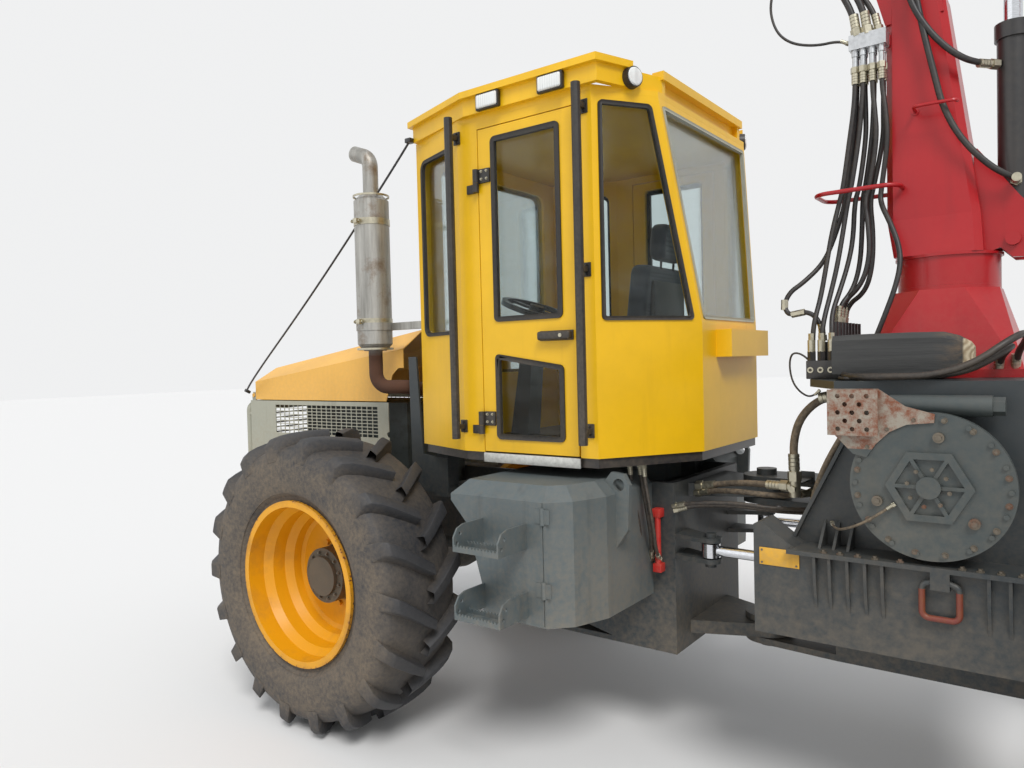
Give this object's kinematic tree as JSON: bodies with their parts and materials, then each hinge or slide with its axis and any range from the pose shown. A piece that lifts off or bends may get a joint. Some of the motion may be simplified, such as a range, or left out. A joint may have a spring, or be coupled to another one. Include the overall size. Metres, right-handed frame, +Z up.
{
  "type": "articulated forestry skidder with crane",
  "caption": "Articulated four-wheel skidder with a cab, tilting hood, winch, slewing crane with grapple and a rear shield.",
  "frame": {"origin": "on the ground under the articulation pin, in the middle of the machine's length and width", "axes": "+X forward along the machine, +Y to its left, +Z up"},
  "size_m": [6.75, 2.5, 4.0933],
  "materials": {
    "machine_yellow": "gloss enamel",
    "hood_yellow": "faded enamel",
    "frame_grey": "worn dark grey-green paint",
    "panel_grey": "pale grey paint",
    "crane_red": "gloss enamel",
    "winch_grey": "grey-green enamel",
    "rubber_tread": "dusty rubber",
    "chrome_rod": "polished",
    "cylinder_black": "black enamel",
    "muffler_steel": "weathered aluminised steel",
    "black_trim": "satin black",
    "cab_glass": "tinted clear",
    "lamp_white": "clear lens in a pale body",
    "seat_cloth": "worn cloth",
    "engine_iron": "oily iron",
    "rest_wood": "weathered dark timber",
    "drum_steel": "wire rope on steel",
    "shield_steel": "scraped grey",
    "manifold_metal": "bare light alloy"
  },
  "bodies": {
    "front_frame": {"front_chassis": "frame_grey", "front_axle": "frame_grey", "engine_block": "engine_iron", "engine_side_panels": "panel_grey", "exhaust": "muffler_steel", "cab_shell": "machine_yellow", "cab_glass": "cab_glass", "cab_floor": "black_trim", "cab_roof": "machine_yellow", "work_lamps": "lamp_white", "seat": "seat_cloth", "steering_column": "black_trim", "handrails": "black_trim", "side_boxes": "frame_grey", "steps": "frame_grey"},
    "hood": {"hood": "hood_yellow"},
    "door_left": {"door_left": "machine_yellow", "door_glass_left": "cab_glass"},
    "door_right": {"door_right": "machine_yellow", "door_glass_right": "cab_glass"},
    "rear_frame": {"rear_chassis": "frame_grey", "rear_axle": "frame_grey", "winch_housing": "winch_grey", "crane_base": "crane_red", "valve_block": "cylinder_black", "rest_beam": "rest_wood"},
    "winch_drum": {"winch_drum": "drum_steel"},
    "crane_column": {"crane_column": "crane_red", "hose_manifold": "manifold_metal"},
    "main_boom": {"main_boom": "crane_red"},
    "outer_boom": {"outer_boom": "crane_red"},
    "boom_extension": {"boom_extension": "crane_red"},
    "lift_barrel": {"lift_barrel": "cylinder_black"},
    "lift_rod": {"lift_rod": "chrome_rod"},
    "fold_barrel": {"fold_barrel": "cylinder_black"},
    "fold_rod": {"fold_rod": "chrome_rod"},
    "grapple_link": {"grapple_link": "cylinder_black"},
    "grapple_head": {"grapple_head": "crane_red"},
    "jaw_front": {"jaw_front": "crane_red"},
    "jaw_rear": {"jaw_rear": "crane_red"},
    "rear_shield": {"rear_shield": "shield_steel"},
    "shield_barrels": {"shield_barrels": "cylinder_black"},
    "shield_rods": {"shield_rods": "chrome_rod"},
    "steering_barrel_left": {"steering_barrel_left": "cylinder_black"},
    "steering_rod_left": {"steering_rod_left": "chrome_rod"},
    "steering_barrel_right": {"steering_barrel_right": "cylinder_black"},
    "steering_rod_right": {"steering_rod_right": "chrome_rod"},
    "wheel_front_left": {"tyre_front_left": "rubber_tread", "rim_front_left": "machine_yellow"},
    "wheel_front_right": {"tyre_front_right": "rubber_tread", "rim_front_right": "machine_yellow"},
    "wheel_rear_left": {"tyre_rear_left": "rubber_tread", "rim_rear_left": "machine_yellow"},
    "wheel_rear_right": {"tyre_rear_right": "rubber_tread", "rim_rear_right": "machine_yellow"}
  },
  "joints": [
    {"name": "articulation", "type": "hinge", "parent": "front_frame", "child": "rear_frame", "pos_m": [0, 0, 0.88], "axis": [0, 0, 1], "range_deg": [-40, 40]},
    {"name": "hood_tilt", "type": "hinge", "parent": "front_frame", "child": "hood", "pos_m": [3.29, 0, 1.64], "axis": [0, 1, 0], "range_deg": [0, 60]},
    {"name": "door_left_swing", "type": "hinge", "parent": "front_frame", "child": "door_left", "pos_m": [1.06, 0.796, 2.1], "axis": [0, 0, -1], "range_deg": [0, 95]},
    {"name": "door_right_swing", "type": "hinge", "parent": "front_frame", "child": "door_right", "pos_m": [1.06, -0.796, 2.1], "axis": [0, 0, 1], "range_deg": [0, 95]},
    {"name": "wheel_front_left_spin", "type": "hinge", "parent": "front_frame", "child": "wheel_front_left", "pos_m": [1.93, 1.01, 0.75], "axis": [0, 1, 0], "continuous": true},
    {"name": "wheel_front_right_spin", "type": "hinge", "parent": "front_frame", "child": "wheel_front_right", "pos_m": [1.93, -1.01, 0.75], "axis": [0, 1, 0], "continuous": true},
    {"name": "wheel_rear_left_spin", "type": "hinge", "parent": "rear_frame", "child": "wheel_rear_left", "pos_m": [-1.93, 1.01, 0.75], "axis": [0, 1, 0], "continuous": true},
    {"name": "wheel_rear_right_spin", "type": "hinge", "parent": "rear_frame", "child": "wheel_rear_right", "pos_m": [-1.93, -1.01, 0.75], "axis": [0, 1, 0], "continuous": true},
    {"name": "steering_barrel_left_swing", "type": "hinge", "parent": "rear_frame", "child": "steering_barrel_left", "pos_m": [-0.95, 0.4, 0.97], "axis": [0, 0, 1], "range_deg": [-4, 4]},
    {"name": "steering_rod_left_slide", "type": "slide", "parent": "steering_barrel_left", "child": "steering_rod_left", "axis": [0.9993, -0.037, 0], "range_m": [-0.245, 0.245]},
    {"name": "steering_barrel_right_swing", "type": "hinge", "parent": "rear_frame", "child": "steering_barrel_right", "pos_m": [-0.95, -0.4, 0.97], "axis": [0, 0, 1], "range_deg": [-4, 4]},
    {"name": "steering_rod_right_slide", "type": "slide", "parent": "steering_barrel_right", "child": "steering_rod_right", "axis": [0.9993, 0.037, 0], "range_m": [-0.245, 0.245]},
    {"name": "winch_drum_turn", "type": "hinge", "parent": "rear_frame", "child": "winch_drum", "pos_m": [-0.79, 0, 1.38], "axis": [0, 1, 0], "continuous": true},
    {"name": "crane_slew", "type": "hinge", "parent": "rear_frame", "child": "crane_column", "pos_m": [-0.75, 0, 2.1], "axis": [0, 0, 1], "range_deg": [-90, 90]},
    {"name": "boom_lift", "type": "hinge", "parent": "crane_column", "child": "main_boom", "pos_m": [-0.57, 0, 3.45], "axis": [0, 1, 0], "range_deg": [-10, 65]},
    {"name": "lift_barrel_swing", "type": "hinge", "parent": "crane_column", "child": "lift_barrel", "pos_m": [-0.977, 0, 2.24], "axis": [0, 1, 0], "range_deg": [-1.5, 8]},
    {"name": "lift_rod_slide", "type": "slide", "parent": "lift_barrel", "child": "lift_rod", "axis": [0.0017, 0, 1], "range_m": [-0.07, 0.405]},
    {"name": "outer_boom_fold", "type": "hinge", "parent": "main_boom", "child": "outer_boom", "pos_m": [-3.03202, 0, 3.88412], "axis": [0, 1, 0], "range_deg": [0, 115]},
    {"name": "fold_barrel_swing", "type": "hinge", "parent": "main_boom", "child": "fold_barrel", "pos_m": [-1.86563, 0, 3.87646], "axis": [0, 1, 0], "range_deg": [-0.5, 6.6]},
    {"name": "fold_rod_slide", "type": "slide", "parent": "fold_barrel", "child": "fold_rod", "axis": [-0.992, 0, 0.1263], "range_m": [-0.495, 0.005]},
    {"name": "extension_slide", "type": "slide", "parent": "outer_boom", "child": "boom_extension", "axis": [0.6428, 0, -0.766], "range_m": [0, 0.75]},
    {"name": "grapple_swing", "type": "hinge", "parent": "boom_extension", "child": "grapple_link", "pos_m": [-2.0357, 0, 2.69675], "axis": [0, 1, 0], "range_deg": [-40, 40]},
    {"name": "grapple_turn", "type": "hinge", "parent": "grapple_link", "child": "grapple_head", "pos_m": [-2.0357, 0, 2.49675], "axis": [0, 0, 1], "continuous": true},
    {"name": "jaw_front_open", "type": "hinge", "parent": "grapple_head", "child": "jaw_front", "pos_m": [-1.9407, 0, 2.40675], "axis": [0, -1, 0], "range_deg": [0, 60]},
    {"name": "jaw_rear_open", "type": "hinge", "parent": "grapple_head", "child": "jaw_rear", "pos_m": [-2.1307, 0, 2.40675], "axis": [0, 1, 0], "range_deg": [0, 60]},
    {"name": "shield_lift", "type": "hinge", "parent": "rear_frame", "child": "rear_shield", "pos_m": [-2.6, 0, 0.62], "axis": [0, 1, 0], "range_deg": [-20, 12]},
    {"name": "shield_barrels_swing", "type": "hinge", "parent": "rear_frame", "child": "shield_barrels", "pos_m": [-2.8, 0, 1.18], "axis": [0, 1, 0], "range_deg": [-13, 8]},
    {"name": "shield_rods_slide", "type": "slide", "parent": "shield_barrels", "child": "shield_rods", "axis": [-0.7493, 0, -0.6622], "range_m": [-0.12, 0.195]}
  ],
  "couplings": [
    {"joint": "steering_barrel_left_swing", "follows": "articulation", "ratio": -0.0796},
    {"joint": "steering_rod_left_slide", "follows": "articulation", "m_per_rad": 0.3427},
    {"joint": "steering_barrel_right_swing", "follows": "articulation", "ratio": -0.0796},
    {"joint": "steering_rod_right_slide", "follows": "articulation", "m_per_rad": -0.3427},
    {"joint": "lift_barrel_swing", "follows": "boom_lift", "ratio": 0.1154},
    {"joint": "lift_rod_slide", "follows": "boom_lift", "m_per_rad": 0.351},
    {"joint": "fold_barrel_swing", "follows": "outer_boom_fold", "ratio": 0.0528},
    {"joint": "fold_rod_slide", "follows": "outer_boom_fold", "m_per_rad": -0.2445},
    {"joint": "jaw_rear_open", "follows": "jaw_front_open", "ratio": 1},
    {"joint": "shield_barrels_swing", "follows": "shield_lift", "ratio": 0.61},
    {"joint": "shield_rods_slide", "follows": "shield_lift", "m_per_rad": -0.539}
  ]
}
